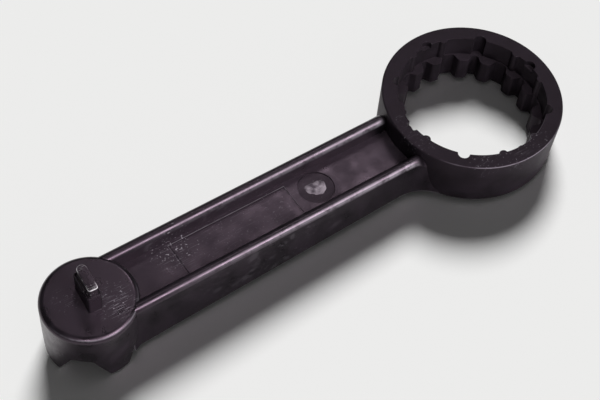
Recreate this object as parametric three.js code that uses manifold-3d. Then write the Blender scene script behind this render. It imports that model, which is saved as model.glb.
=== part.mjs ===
// Drum and jerrycan key, a moulded wrench for screw caps and bung plugs.
// A two-tier ring socket turns screw caps, a flanged handle carries it, and the bung head at the other
// end has a crown of lugs underneath and a stepped key on top.
// Millimetres, +Z up, +X along the handle from the bung head to the ring. The origin lies under the middle
// of the tool, level with the tips of the lugs.

import * as THREE from 'three';
import { mergeVertices } from 'three/addons/utils/BufferGeometryUtils.js';
import Module from 'manifold-3d';

const wasm = await Module();
wasm.setup();

// Layout
const CENTRE_DISTANCE = 226; // ring axis to bung head axis
const SEAM = 0.3; // parting gap where members meet on a round wall
const OVERCUT = 1; // how far a cutter runs past the face it opens

// Bung head
const HEAD_RADIUS = 23.4;
const HEAD_WALL = 4.5; // thickness of the skirt and of the lugs
const DISC_THICKNESS = 5;
const RIM_RADIUS = 3; // rolled edge of the disc
const SKIRT_HEIGHT = 14;

// Crown of lugs
const LUG_NAMES = ['lug_inner', 'lug_far', 'lug_outer', 'lug_near'];
const LUG_PHASE = 5; // degrees from the handle to the first lug
const LUG_HEIGHT = 15.5;
const LUG_TIP_WIDTH = 10.5;
const LUG_FLANK_ANGLE = 26; // degrees from upright

// Stepped key
const KEY_TURN = -4; // degrees from square across the handle
const KEY_BASE_LENGTH = 16;
const KEY_BASE_WIDTH = 7;
const KEY_BASE_HEIGHT = 12;
const KEY_BASE_CORNER = 1;
const KEY_TIP_LENGTH = 15;
const KEY_TIP_WIDTH = 5;
const KEY_TIP_HEIGHT = 5.5;

// Ring
const RING_HEIGHT = 27.7;
const RING_RISE = 4; // ring top above the rail tops
const RING_DRAFT = 0.8; // degrees, the outside narrows downwards
const RING_EDGE = 0.6; // edge break of the outside

// Upper tier of the ring
const COLLAR_BORE_RADIUS = 39;
const COLLAR_WALL = 8.5; // bore to the outside, at the top
const COLLAR_HEIGHT = 12;
const RIB_HEIGHT = 1.6; // how far a grip rib stands into the bore
const RIB_WIDTH = 4.8;
const RIB_ANGLE = 15; // degrees from a rib pair's middle to each rib
const RIB_PAIR_ANGLES = [0, 90, 180, 270];
const NOTCH_DEPTH = 3; // bore to the floor of a notch
const NOTCH_WIDTH = 6;
const THROUGH_NOTCH_ANGLES = [45, 135, 225, 315];
const POCKET_NOTCH_ANGLES = [0, 90, 180];
const POCKET_HEIGHT = 3; // ring top down to a pocket's floor

// Lower tier of the ring
const TOOTH_PAIRS = 8;
const PAIR_PHASE = 1; // degrees from the handle's line to the middle of a pair
const PAIR_SPREAD = 20; // degrees between the two teeth of a pair
const SHELF_WIDTH = 5.1; // collar bore to the tooth tips
const TOOTH_HEIGHT = 4.5;
const TOOTH_TIP_WIDTH = 5;
const TOOTH_FLANK_WIDTH = 2.3; // run of a flank round the ring
const TOOTH_ROUNDING = 0.3; // share of each side that a rounded corner takes
const TOOTH_SETBACK = 1.5; // ring bottom up to the ends of the teeth
const LEAD_IN_STEP = 0.4; // gap floor out to the lead-in's wall

// Handle
const RAIL_SPACING = 30.3; // between the rails' middles
const RAIL_THICKNESS = 6;
const HEAD_END_DEPTH = 32.8; // rail depth on the bung head's axis
const RING_END_DEPTH = 20.9; // rail depth on the ring's axis
const WEB_DROP = 8.8; // rail tops down to the web
const WEB_THICKNESS = 4;
const RING_FLARE_RADIUS = 22.5;
const HEAD_FLARE_RADIUS = 9;

// Facets
const LARGE_ROUND = 96;
const SMALL_ROUND = 16;
const FLARE_STEPS = 9;
const RAIL_TOP_STEPS = 8;
const RIM_STEPS = 5;
const TOOTH_CORNER_STEPS = 3;

// Places that follow from the sizes above
const RING_RADIUS = COLLAR_BORE_RADIUS + COLLAR_WALL;
const TOOTH_TIP_RADIUS = COLLAR_BORE_RADIUS - SHELF_WIDTH;
const TOOTH_ROOT_RADIUS = TOOTH_TIP_RADIUS + TOOTH_HEIGHT;
const RING_X = (CENTRE_DISTANCE + HEAD_RADIUS - RING_RADIUS) / 2;
const HEAD_X = RING_X - CENTRE_DISTANCE;
const DISC_BOTTOM = LUG_HEIGHT + SKIRT_HEIGHT;
const DISC_TOP = DISC_BOTTOM + DISC_THICKNESS;
const RAIL_TOP = DISC_TOP;
const RING_TOP = RAIL_TOP + RING_RISE;
const SHELF = RING_TOP - COLLAR_HEIGHT;
const RING_BOTTOM = RING_TOP - RING_HEIGHT;
const WEB_TOP = RAIL_TOP - WEB_DROP;
const RAIL_INSIDE = (RAIL_SPACING - RAIL_THICKNESS) / 2;
const RAIL_OUTSIDE = (RAIL_SPACING + RAIL_THICKNESS) / 2;
const KEY_SHOULDER = DISC_TOP + KEY_BASE_HEIGHT;

// Solids

/** A closed geometry as a solid that can be cut and joined. */
function toSolid(geometry) {
  const bare = geometry.clone();
  bare.deleteAttribute('normal');
  bare.deleteAttribute('uv');
  const merged = mergeVertices(bare);
  const corners = merged.index.array;
  const triVerts = [];
  for (let i = 0; i < corners.length; i += 3) {
    const [a, b, c] = corners.slice(i, i + 3);
    if (a !== b && b !== c && c !== a) triVerts.push(a, b, c);
  }
  const vertProperties = new Float32Array(merged.attributes.position.array);
  const mesh = new wasm.Mesh({ numProp: 3, vertProperties, triVerts: new Uint32Array(triVerts) });
  return new wasm.Manifold(mesh);
}

/** A solid's surface as a flat-shaded geometry. */
function toGeometry(solid) {
  const mesh = solid.getMesh();
  const geometry = new THREE.BufferGeometry();
  geometry.setAttribute('position', new THREE.BufferAttribute(new Float32Array(mesh.vertProperties), 3));
  geometry.setIndex(new THREE.BufferAttribute(new Uint32Array(mesh.triVerts), 1));
  geometry.computeVertexNormals();
  return geometry;
}

/** A profile of [radius, height] pairs turned about the Z axis. */
function revolve(profile, segments = LARGE_ROUND) {
  const points = profile.map(([radius, height]) => new THREE.Vector2(radius, height));
  return new THREE.LatheGeometry(points, segments).rotateX(Math.PI / 2);
}

/** An upright round bar between two heights. */
function roundBar(radius, bottom, top, segments = LARGE_ROUND) {
  return revolve([[0, bottom], [radius, bottom], [radius, top], [0, top]], segments);
}

/** An upright tube between two heights. */
function tube(inside, outside, bottom, top) {
  return revolve([[inside, bottom], [outside, bottom], [outside, top], [inside, top], [inside, bottom]]);
}

/** A plan outline raised between two heights. */
function raise(shape, bottom, top, curveSegments = RIM_STEPS) {
  const options = { depth: top - bottom, bevelEnabled: false, curveSegments };
  return new THREE.ExtrudeGeometry(shape, options).translate(0, 0, bottom);
}

/** A skin over sections that all have the same number of corners, closed at both ends. */
function loft(sections) {
  const count = sections[0].length;
  const index = [];
  for (let s = 0; s + 1 < sections.length; s += 1) {
    for (let c = 0; c < count; c += 1) {
      const here = s * count + c;
      const next = s * count + ((c + 1) % count);
      index.push(here, next, next + count, here, next + count, here + count);
    }
  }
  const outline = sections[0].map((point) => new THREE.Vector2(point.y, point.z));
  const last = (sections.length - 1) * count;
  for (const [a, b, c] of THREE.ShapeUtils.triangulateShape(outline, [])) {
    index.push(c, b, a);
    index.push(last + a, last + b, last + c);
  }
  const geometry = new THREE.BufferGeometry().setFromPoints(sections.flat());
  geometry.setIndex(index);
  return geometry;
}

const radians = THREE.MathUtils.degToRad;
const degrees = THREE.MathUtils.radToDeg;

/** A plan point at a radius and an angle in degrees. */
function polar(radius, angle) {
  return new THREE.Vector2(radius * Math.cos(radians(angle)), radius * Math.sin(radians(angle)));
}

/** An upright round bar that stands off the axis, at a radius and an angle in degrees. */
function offsetBar(barRadius, radius, angle, bottom, top) {
  const place = polar(radius, angle);
  return toSolid(roundBar(barRadius, bottom, top, SMALL_ROUND).translate(place.x, place.y, 0));
}

// Ring, built about its own axis

/** Outside radius of the drafted ring at a height. */
function ringRadius(height) {
  return RING_RADIUS - (RING_TOP - height) * Math.tan(radians(RING_DRAFT));
}

/** Upper tier: a smooth bore with paired ribs, through notches and pocket notches. */
function ringCollar() {
  const blank = revolve([
    [0, SHELF],
    [ringRadius(SHELF), SHELF],
    [ringRadius(RING_TOP - RING_EDGE), RING_TOP - RING_EDGE],
    [RING_RADIUS - RING_EDGE, RING_TOP],
    [0, RING_TOP],
  ]);
  const below = SHELF - OVERCUT;
  const above = RING_TOP + OVERCUT;
  let collar = toSolid(blank).subtract(toSolid(roundBar(COLLAR_BORE_RADIUS, below, above)));
  const notchCentre = COLLAR_BORE_RADIUS + NOTCH_DEPTH - NOTCH_WIDTH / 2;
  for (const angle of THROUGH_NOTCH_ANGLES) {
    collar = collar.subtract(offsetBar(NOTCH_WIDTH / 2, notchCentre, angle, below, above));
  }
  for (const angle of POCKET_NOTCH_ANGLES) {
    collar = collar.subtract(offsetBar(NOTCH_WIDTH / 2, notchCentre, angle, RING_TOP - POCKET_HEIGHT, above));
  }
  const ribCentre = COLLAR_BORE_RADIUS - RIB_HEIGHT + RIB_WIDTH / 2;
  for (const angle of RIB_PAIR_ANGLES) {
    for (const side of [-1, 1]) {
      collar = collar.add(offsetBar(RIB_WIDTH / 2, ribCentre, angle + side * RIB_ANGLE, SHELF, RING_TOP));
    }
  }
  return toGeometry(collar);
}

/** A closed outline through corners, each rounded over a share of its two sides. */
function roundedOutline(corners, share) {
  const shape = new THREE.Shape();
  corners.forEach((corner, place) => {
    const before = corners[(place + corners.length - 1) % corners.length];
    const after = corners[(place + 1) % corners.length];
    const start = corner.clone().lerp(before, share);
    const end = corner.clone().lerp(after, share);
    if (place === 0) shape.moveTo(start.x, start.y);
    else shape.lineTo(start.x, start.y);
    shape.quadraticCurveTo(corner.x, corner.y, end.x, end.y);
  });
  return shape;
}

/** Plan of the space inside the teeth. */
function toothedBore() {
  const tipHalf = degrees(TOOTH_TIP_WIDTH / 2 / TOOTH_TIP_RADIUS);
  const footHalf = tipHalf + degrees(TOOTH_FLANK_WIDTH / TOOTH_ROOT_RADIUS);
  const corners = [];
  for (let pair = 0; pair < TOOTH_PAIRS; pair += 1) {
    for (const side of [-1, 1]) {
      const middle = PAIR_PHASE + (360 * pair) / TOOTH_PAIRS + (side * PAIR_SPREAD) / 2;
      corners.push(polar(TOOTH_ROOT_RADIUS, middle - footHalf), polar(TOOTH_TIP_RADIUS, middle - tipHalf));
      corners.push(polar(TOOTH_TIP_RADIUS, middle + tipHalf), polar(TOOTH_ROOT_RADIUS, middle + footHalf));
    }
  }
  return roundedOutline(corners, TOOTH_ROUNDING);
}

/** Lower tier: the drafted wall with its pairs of teeth, set back from the bottom. */
function ringToothedSkirt() {
  const blank = revolve([
    [0, RING_BOTTOM],
    [ringRadius(RING_BOTTOM) - RING_EDGE, RING_BOTTOM],
    [ringRadius(RING_BOTTOM + RING_EDGE), RING_BOTTOM + RING_EDGE],
    [ringRadius(SHELF), SHELF],
    [0, SHELF],
  ]);
  const bore = raise(toothedBore(), RING_BOTTOM - OVERCUT, SHELF + OVERCUT, TOOTH_CORNER_STEPS);
  const leadInRadius = TOOTH_ROOT_RADIUS + LEAD_IN_STEP;
  const leadIn = roundBar(leadInRadius, RING_BOTTOM - OVERCUT, RING_BOTTOM + TOOTH_SETBACK);
  return toGeometry(toSolid(blank).subtract(toSolid(bore)).subtract(toSolid(leadIn)));
}

// Handle, built in place

/** Where a fillet that runs from a rail's outside onto a round head starts and ends, along X. */
function flareSpan(headRadius, flareRadius) {
  const start = Math.sqrt((headRadius + flareRadius) ** 2 - (RAIL_OUTSIDE + flareRadius) ** 2);
  return { start, end: (headRadius * start) / (headRadius + flareRadius) };
}

/** A round wall's clearance cutter for the members that end against it. */
function wallCutter(x, radius) {
  return toSolid(roundBar(radius + SEAM, -OVERCUT, RING_TOP + OVERCUT).translate(x, 0, 0));
}

/** Rail depth below its top at a place along the handle. */
function railDepth(x) {
  const share = (x - HEAD_X) / CENTRE_DISTANCE;
  return THREE.MathUtils.lerp(HEAD_END_DEPTH, RING_END_DEPTH, share);
}

/** Upright section of a rail: straight walls under a rounded top. */
function railSection(x, outside, side) {
  const bottom = RAIL_TOP - railDepth(x);
  const crownHeight = RAIL_THICKNESS / 2;
  const middle = (RAIL_INSIDE + outside) / 2;
  const halfWidth = (outside - RAIL_INSIDE) / 2;
  const points = [RAIL_INSIDE, outside].map((y) => new THREE.Vector3(x, side * y, bottom));
  for (let step = 0; step <= RAIL_TOP_STEPS; step += 1) {
    const turn = (Math.PI * step) / RAIL_TOP_STEPS;
    const y = middle + halfWidth * Math.cos(turn);
    const z = RAIL_TOP - crownHeight + crownHeight * Math.sin(turn);
    points.push(new THREE.Vector3(x, side * y, z));
  }
  return side > 0 ? points : points.reverse();
}

/** A side wall of the handle, flaring onto the bung head and onto the ring. */
function rail(side) {
  const headFlare = flareSpan(HEAD_RADIUS, HEAD_FLARE_RADIUS);
  const ringFlare = flareSpan(RING_RADIUS, RING_FLARE_RADIUS);
  const sections = [];
  for (let step = FLARE_STEPS; step >= 0; step -= 1) {
    const reach = ((headFlare.start - headFlare.end) * step) / FLARE_STEPS;
    const rise = HEAD_FLARE_RADIUS - Math.sqrt(HEAD_FLARE_RADIUS ** 2 - reach ** 2);
    sections.push(railSection(HEAD_X + headFlare.start - reach, RAIL_OUTSIDE + rise, side));
  }
  for (let step = 0; step <= FLARE_STEPS; step += 1) {
    const reach = ((ringFlare.start - ringFlare.end) * step) / FLARE_STEPS;
    const rise = RING_FLARE_RADIUS - Math.sqrt(RING_FLARE_RADIUS ** 2 - reach ** 2);
    sections.push(railSection(RING_X - ringFlare.start + reach, RAIL_OUTSIDE + rise, side));
  }
  const cut = toSolid(loft(sections)).subtract(wallCutter(HEAD_X, HEAD_RADIUS));
  return toGeometry(cut.subtract(wallCutter(RING_X, RING_RADIUS)));
}

/** The flat plate between the rails. */
function handleWeb() {
  const plate = new THREE.BoxGeometry(CENTRE_DISTANCE, 2 * RAIL_INSIDE, WEB_THICKNESS);
  plate.translate((HEAD_X + RING_X) / 2, 0, WEB_TOP - WEB_THICKNESS / 2);
  const cut = toSolid(plate).subtract(wallCutter(HEAD_X, HEAD_RADIUS));
  return toGeometry(cut.subtract(wallCutter(RING_X, RING_RADIUS)));
}

// Bung head, built about its own axis

/** Round top with a rolled rim. */
function bungHeadDisc() {
  const profile = [[0, DISC_BOTTOM], [HEAD_RADIUS, DISC_BOTTOM]];
  for (let step = 0; step <= RIM_STEPS; step += 1) {
    const turn = (Math.PI / 2) * (step / RIM_STEPS);
    const radius = HEAD_RADIUS - RIM_RADIUS + RIM_RADIUS * Math.cos(turn);
    profile.push([radius, DISC_TOP - RIM_RADIUS + RIM_RADIUS * Math.sin(turn)]);
  }
  profile.push([0, DISC_TOP]);
  return toGeometry(toSolid(revolve(profile)));
}

/** Hollow wall under the disc. */
function bungHeadSkirt() {
  return toGeometry(toSolid(tube(HEAD_RADIUS - HEAD_WALL, HEAD_RADIUS, LUG_HEIGHT, DISC_BOTTOM)));
}

/** One lug: a tapered tooth of the skirt's own wall. */
function crownLug() {
  const tip = LUG_TIP_WIDTH / 2;
  const foot = tip + LUG_HEIGHT * Math.tan(radians(LUG_FLANK_ANGLE));
  const face = new THREE.Shape().moveTo(-tip, 0).lineTo(tip, 0);
  face.lineTo(foot, LUG_HEIGHT).lineTo(-foot, LUG_HEIGHT);
  const wedge = new THREE.ExtrudeGeometry(face, { depth: HEAD_RADIUS + HEAD_WALL, bevelEnabled: false });
  const outwards = new THREE.Matrix4().makeBasis(
    new THREE.Vector3(0, 1, 0),
    new THREE.Vector3(0, 0, 1),
    new THREE.Vector3(1, 0, 0),
  );
  const wall = tube(HEAD_RADIUS - HEAD_WALL, HEAD_RADIUS, 0, LUG_HEIGHT);
  return toGeometry(toSolid(wall).intersect(toSolid(wedge.applyMatrix4(outwards))));
}

/** A rectangle about the axis with rounded corners, long across the handle. */
function roundedBar(length, width, corner) {
  const x = width / 2 - corner;
  const y = length / 2 - corner;
  const shape = new THREE.Shape();
  shape.absarc(x, y, corner, 0, Math.PI / 2);
  shape.absarc(-x, y, corner, Math.PI / 2, Math.PI);
  shape.absarc(-x, -y, corner, Math.PI, 1.5 * Math.PI);
  shape.absarc(x, -y, corner, 1.5 * Math.PI, 2 * Math.PI);
  return shape;
}

/** Lower, broader step of the key. */
function keyBase() {
  const outline = roundedBar(KEY_BASE_LENGTH, KEY_BASE_WIDTH, KEY_BASE_CORNER);
  return toGeometry(toSolid(raise(outline, DISC_TOP, KEY_SHOULDER)));
}

/** Upper step of the key, with half-round ends. */
function keyTip() {
  const endRadius = KEY_TIP_WIDTH / 2;
  const endCentre = KEY_TIP_LENGTH / 2 - endRadius;
  const outline = new THREE.Shape().absarc(0, endCentre, endRadius, 0, Math.PI);
  outline.absarc(0, -endCentre, endRadius, Math.PI, 2 * Math.PI);
  return toGeometry(toSolid(raise(outline, KEY_SHOULDER, KEY_SHOULDER + KEY_TIP_HEIGHT)));
}

// Assembly

/** A named sub-part in black moulded plastic. */
function member(name, geometry) {
  const material = new THREE.MeshStandardMaterial({ color: 0x1c1a1d, roughness: 0.45, metalness: 0 });
  const mesh = new THREE.Mesh(geometry, material);
  mesh.name = name;
  return mesh;
}

const drumKey = new THREE.Group();

const ring = new THREE.Group();
ring.position.x = RING_X;
ring.add(member('ring_collar', ringCollar()));
ring.add(member('ring_toothed_skirt', ringToothedSkirt()));
drumKey.add(ring);

drumKey.add(member('handle_web', handleWeb()));
drumKey.add(member('near_rail', rail(-1)));
drumKey.add(member('far_rail', rail(1)));

const bungHead = new THREE.Group();
bungHead.position.x = HEAD_X;
bungHead.add(member('bung_head_disc', bungHeadDisc()));
bungHead.add(member('bung_head_skirt', bungHeadSkirt()));
LUG_NAMES.forEach((name, place) => {
  const lug = member(name, crownLug());
  lug.rotation.z = radians(LUG_PHASE + (360 * place) / LUG_NAMES.length);
  bungHead.add(lug);
});
const key = new THREE.Group();
key.rotation.z = radians(KEY_TURN);
key.add(member('key_base', keyBase()));
key.add(member('key_tip', keyTip()));
bungHead.add(key);
drumKey.add(bungHead);

export default drumKey;
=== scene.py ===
"""Looks of a moulded drum key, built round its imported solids.

The tool is one black plastic moulding: a two-tier ring socket for screw caps, a flanged handle, and a
bung head with a crown of lugs underneath and a stepped key on top. Lengths are in millimetres of the
part's frame until a piece is finished, and its mesh is then scaled to metres.
"""

import logging
import math
from collections.abc import Callable, Sequence
from dataclasses import dataclass
from enum import Enum

import bmesh
import bpy
from bmesh.types import BMEdge, BMesh, BMFace, BMVert
from bpy.types import ID, Material, NodeSocket, NodeTree, Object, World
from mathutils import Euler, Matrix, Vector


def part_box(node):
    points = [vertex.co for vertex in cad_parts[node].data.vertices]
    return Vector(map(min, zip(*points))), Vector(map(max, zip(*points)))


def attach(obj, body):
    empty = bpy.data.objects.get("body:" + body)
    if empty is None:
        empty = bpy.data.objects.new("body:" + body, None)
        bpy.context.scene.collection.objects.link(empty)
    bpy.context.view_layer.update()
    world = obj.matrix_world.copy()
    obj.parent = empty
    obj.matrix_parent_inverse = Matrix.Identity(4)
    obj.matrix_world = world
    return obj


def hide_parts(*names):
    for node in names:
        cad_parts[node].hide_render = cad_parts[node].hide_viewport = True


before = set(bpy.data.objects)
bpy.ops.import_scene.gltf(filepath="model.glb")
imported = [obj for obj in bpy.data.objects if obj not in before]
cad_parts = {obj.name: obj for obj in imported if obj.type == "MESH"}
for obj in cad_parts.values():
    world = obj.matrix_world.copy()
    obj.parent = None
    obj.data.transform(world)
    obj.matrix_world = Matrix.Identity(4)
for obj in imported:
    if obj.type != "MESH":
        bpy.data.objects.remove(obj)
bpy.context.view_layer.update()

Pair = tuple[float, float]
Wave = tuple[int, float, float]  # how many go round, the height and the phase

LOG = logging.getLogger("drum_key")

MM = 0.001
X_AXIS = Vector((1, 0, 0))
Y_AXIS = Vector((0, 1, 0))
Z_AXIS = Vector((0, 0, 1))
ROUND_STEPS = 240  # facets of a large round wall
EDGE_STEPS = 2  # facets of a rounded edge
SHARP_ANGLE = math.radians(34)  # edges sharper than this are rounded
FLAT_ANGLE = math.radians(0.3)  # faces that turn less than this become one
CREASE_ANGLE = math.radians(42)  # shading breaks along edges sharper than this
MERGE = 1e-4  # points closer than this are one
SHORT = 0.02  # edges shorter than this are closed before the rounding
LEVEL = 0.01  # heights closer than this are the same
NEAR = 0.1  # a point within this of a line lies on it
MARGIN = 1.0  # tells a member's faces from those of the next
OVERCUT = 1.0  # how far a cutter runs past the face it opens
WEAR = "edge_wear"  # attribute: 1 along the middle of a rounded edge


class Cut(Enum):
    """How one shape acts on another."""

    AWAY = "DIFFERENCE"
    JOIN = "UNION"


class Lit(Enum):
    """What a lamp's flags let its light fall on."""

    TOOL = "lit_tool"
    FLOOR = "lit_floor"


class Pen:
    """Draws an outline by extruding and spinning its last vertex."""

    def __init__(self, start: Sequence[float], normal: Vector = Z_AXIS) -> None:
        """Starts an outline.

        Args:
            start: First point.
            normal: Axis that arcs turn about.
        """
        self.mesh = bmesh.new()
        self.normal = normal
        self.tip = self.mesh.verts.new(start)

    def line(self, *ends: Sequence[float]) -> "Pen":
        """Draws straight strokes, one after the other.

        Args:
            *ends: Where each stroke ends.

        Returns:
            The pen, for the next stroke.
        """
        for end in ends:
            self.tip = bmesh.ops.extrude_vert_indiv(self.mesh, verts=[self.tip])["verts"][0]
            self.tip.co = end
        return self

    def arc(self, centre: Sequence[float], degrees: float, steps: int) -> "Pen":
        """Draws a round stroke.

        Args:
            centre: Centre of the arc.
            degrees: Sweep, anticlockwise about the pen's normal.
            steps: Facets of the arc.

        Returns:
            The pen, for the next stroke.
        """
        angle = math.radians(degrees)
        made = bmesh.ops.spin(
            self.mesh, geom=[self.tip], cent=centre, axis=self.normal, angle=angle, steps=steps
        )
        self.tip = made["geom_last"][0]
        return self

    def repeat(self, centre: Sequence[float], times: int) -> "Pen":
        """Repeats everything drawn so far round a centre.

        Args:
            centre: Centre of the pattern.
            times: How many there are in the full round.

        Returns:
            The pen.
        """
        bmesh.ops.spin(
            self.mesh, geom=self.mesh.verts[:] + self.mesh.edges[:], cent=centre, axis=self.normal,
            angle=math.tau * (times - 1) / times, steps=times - 1, use_duplicate=True,
        )
        return self


def rank(point: Vector) -> float:
    """Orders points by x, then y, then z, so that each run numbers a mesh alike."""
    x, y, z = (round(c, 2) for c in point)
    return (x * 1e4 + y) * 1e4 + z


def closed(mesh: BMesh) -> BMesh:
    """Merges a mesh's doubles, turns its faces outwards and sorts it.

    Args:
        mesh: A closed shape.

    Returns:
        The same mesh.
    """
    bmesh.ops.remove_doubles(mesh, verts=mesh.verts[:], dist=MERGE)
    bmesh.ops.recalc_face_normals(mesh, faces=mesh.faces[:])
    mesh.verts.sort(key=lambda v: rank(v.co))
    mesh.edges.sort(key=lambda e: rank(e.verts[0].co + e.verts[1].co))
    mesh.faces.sort(key=lambda f: rank(f.calc_center_median()))
    return mesh


def turned(pen: Pen, axis: Vector, steps: int = ROUND_STEPS) -> BMesh:
    """Turns an upright profile about an upright axis.

    Args:
        pen: The profile, drawn in the XZ plane through the axis.
        axis: A point on the axis.
        steps: Facets of the round.

    Returns:
        The closed shape.
    """
    bmesh.ops.spin(
        pen.mesh, geom=pen.mesh.verts[:] + pen.mesh.edges[:], cent=axis, axis=Z_AXIS,
        angle=math.tau, steps=steps, use_merge=True,
    )
    return closed(pen.mesh)


def raised(pen: Pen, height: float) -> BMesh:
    """Closes an outline and raises it to a prism.

    Args:
        pen: The outline.
        height: How far it is raised.

    Returns:
        The closed shape.
    """
    bmesh.ops.remove_doubles(pen.mesh, verts=pen.mesh.verts[:], dist=MERGE)
    floor = bmesh.ops.edgeloop_fill(pen.mesh, edges=pen.mesh.edges[:])["faces"]
    made = bmesh.ops.extrude_face_region(pen.mesh, geom=floor, use_keep_orig=True)["geom"]
    upper = [v for v in made if isinstance(v, BMVert)]
    bmesh.ops.translate(pen.mesh, vec=(0, 0, height), verts=upper)
    return closed(pen.mesh)


def box(low: Sequence[float], high: Sequence[float]) -> BMesh:
    """Makes a rectangular cutter.

    Args:
        low: Lowest corner.
        high: Highest corner.

    Returns:
        The closed shape.
    """
    mesh = bmesh.new()
    middle = (Vector(low) + Vector(high)) / 2
    size = Vector(high) - Vector(low)
    bmesh.ops.create_cube(mesh, size=1, matrix=Matrix.LocRotScale(middle, None, size))
    return mesh


def bar(centre: Vector, radius: float, bottom: float, top: float, steps: int = ROUND_STEPS) -> BMesh:
    """Makes an upright round cutter.

    Args:
        centre: A point on its axis.
        radius: Its radius.
        bottom: Height of its lower end.
        top: Height of its upper end.
        steps: Facets of the round.

    Returns:
        The closed shape.
    """
    mesh = bmesh.new()
    bmesh.ops.create_cone(
        mesh, cap_ends=True, segments=steps, radius1=radius, radius2=radius, depth=top - bottom,
        matrix=Matrix.Translation((centre.x, centre.y, (bottom + top) / 2)),
    )
    return mesh


def placed(name: str, data: ID) -> Object:
    """Adds an object to the scene.

    Args:
        name: Its name.
        data: Its mesh, lamp or camera.

    Returns:
        The object.
    """
    made = bpy.data.objects.new(name, data)
    bpy.context.scene.collection.objects.link(made)
    return made


def standing(mesh: BMesh, name: str) -> Object:
    """Adds a shape to the scene as it is.

    Args:
        mesh: The shape. It is used up.
        name: The object's name.

    Returns:
        The object.
    """
    data = bpy.data.meshes.new(name)
    mesh.to_mesh(data)
    mesh.free()
    return placed(name, data)


def combined(body: BMesh, tool: BMesh, how: Cut) -> BMesh:
    """Cuts one shape with another, or joins them.

    Args:
        body: The shape that is worked on.
        tool: The shape that cuts it or joins it.
        how: Which of the two happens.

    Returns:
        The new shape. The other two are used up.
    """
    work, cutter = standing(body, "body"), standing(tool, "tool")
    modifier = work.modifiers.new("work", "BOOLEAN")
    modifier.operation = how.value
    modifier.solver = "MANIFOLD"
    modifier.object = cutter
    made = bmesh.new()
    made.from_object(work, bpy.context.evaluated_depsgraph_get())
    for used in (work, cutter):
        bpy.data.meshes.remove(used.data)
    return closed(made)


def part(mesh: BMesh, faces: Sequence[BMFace], point: Vector, normal: Vector) -> None:
    """Parts faces of a shape along a plane, so that none of them goes all round a hole.

    Args:
        mesh: The shape.
        faces: The faces that are parted.
        point: A point of the plane.
        normal: The plane's normal.
    """
    edges = dict.fromkeys(e for f in faces for e in f.edges)
    verts = dict.fromkeys(v for f in faces for v in f.verts)
    parted = [*verts, *edges, *faces]
    made = bmesh.ops.bisect_plane(mesh, geom=parted, plane_co=point, plane_no=normal)
    for element in made["geom_cut"]:
        if isinstance(element, BMEdge):
            element.seam = True


def rounded(mesh: BMesh, edges: Sequence[BMEdge], width: float, steps: int) -> dict[str, list]:
    """Rounds edges of a shape, and gives lists of the new verts, edges and faces."""
    return bmesh.ops.bevel(
        mesh, geom=edges, offset=width, offset_type="OFFSET", segments=steps, profile=0.5,
        affect="EDGES", clamp_overlap=False, material=-1,
    )


def soften(mesh: BMesh, width: float, wanted: Callable[[BMEdge], bool] = bool) -> None:
    """Rounds the sharp edges of a shape and marks them for wear.

    Args:
        mesh: The shape.
        width: Size of the rounding.
        wanted: Tells which of the sharp edges are rounded.
    """
    wear = mesh.verts.layers.float.new(WEAR)
    bmesh.ops.remove_doubles(mesh, verts=mesh.verts[:], dist=SHORT)
    bmesh.ops.dissolve_limit(
        mesh, angle_limit=FLAT_ANGLE, verts=mesh.verts[:], edges=mesh.edges[:], delimit={"SEAM"}
    )
    corners = [e for e in mesh.edges if e.is_manifold and e.calc_face_angle() > SHARP_ANGLE]
    made = rounded(mesh, [e for e in corners if wanted(e)], width, EDGE_STEPS)
    rounding = set(made["faces"])
    for vert in made["verts"]:
        if vert.is_valid and rounding.issuperset(vert.link_faces):
            vert[wear] = 1.0


def mark_rim(mesh: BMesh, centre: Vector, radius: float, rounding: float) -> None:
    """Marks the middle of a round piece's top rounding for wear and for a painted highlight.

    Args:
        mesh: The shape.
        centre: Middle of its top.
        radius: Its outer radius.
        rounding: Radius of the rounding.
    """
    wear = mesh.verts.layers.float[WEAR]
    inset = rounding * (1 - math.sqrt(0.5))
    for vert in mesh.verts:
        out = vert.co - centre
        if abs(out.xy.length - radius + inset) < NEAR and abs(out.z + inset) < NEAR:
            vert[wear] = 1.0


def finished(mesh: BMesh, name: str) -> Object:
    """Turns a shape into a piece of the tool, in metres.

    Args:
        mesh: The shape in millimetres. It is used up.
        name: The piece's name.

    Returns:
        The piece, riding on the tool's only body.
    """
    bmesh.ops.scale(mesh, vec=(MM, MM, MM), verts=mesh.verts[:])
    piece = standing(mesh, name)
    piece.data.shade_smooth()
    piece.data.set_sharp_from_angle(angle=CREASE_ANGLE)
    even = piece.modifiers.new("even_normals", "WEIGHTED_NORMAL")
    even.keep_sharp = True
    even.mode = "FACE_AREA"
    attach(piece, "root")
    return piece


def ripple(turn: float, waves: Sequence[Wave]) -> float:
    """Adds up waves round an axis, at an angle in radians."""
    return sum(height * math.sin(count * turn + phase) for count, height, phase in waves)


def linear(colour: str) -> tuple[float, float, float, float]:
    """Turns an sRGB hex colour to linear light.

    Args:
        colour: Such as "#1c1a1d".

    Returns:
        Red, green, blue and a full alpha.
    """
    parts = [int(colour[i : i + 2], 16) / 255 for i in (1, 3, 5)]
    red, green, blue = (p / 12.92 if p <= 0.04045 else ((p + 0.055) / 1.055) ** 2.4 for p in parts)
    return red, green, blue, 1.0


def bare_tree(owner: Material | World) -> NodeTree:
    """Empties the node tree of a material or a world.

    Args:
        owner: The material or world.

    Returns:
        Its node tree.
    """
    owner.use_nodes = True
    owner.node_tree.nodes.clear()
    return owner.node_tree


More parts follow.
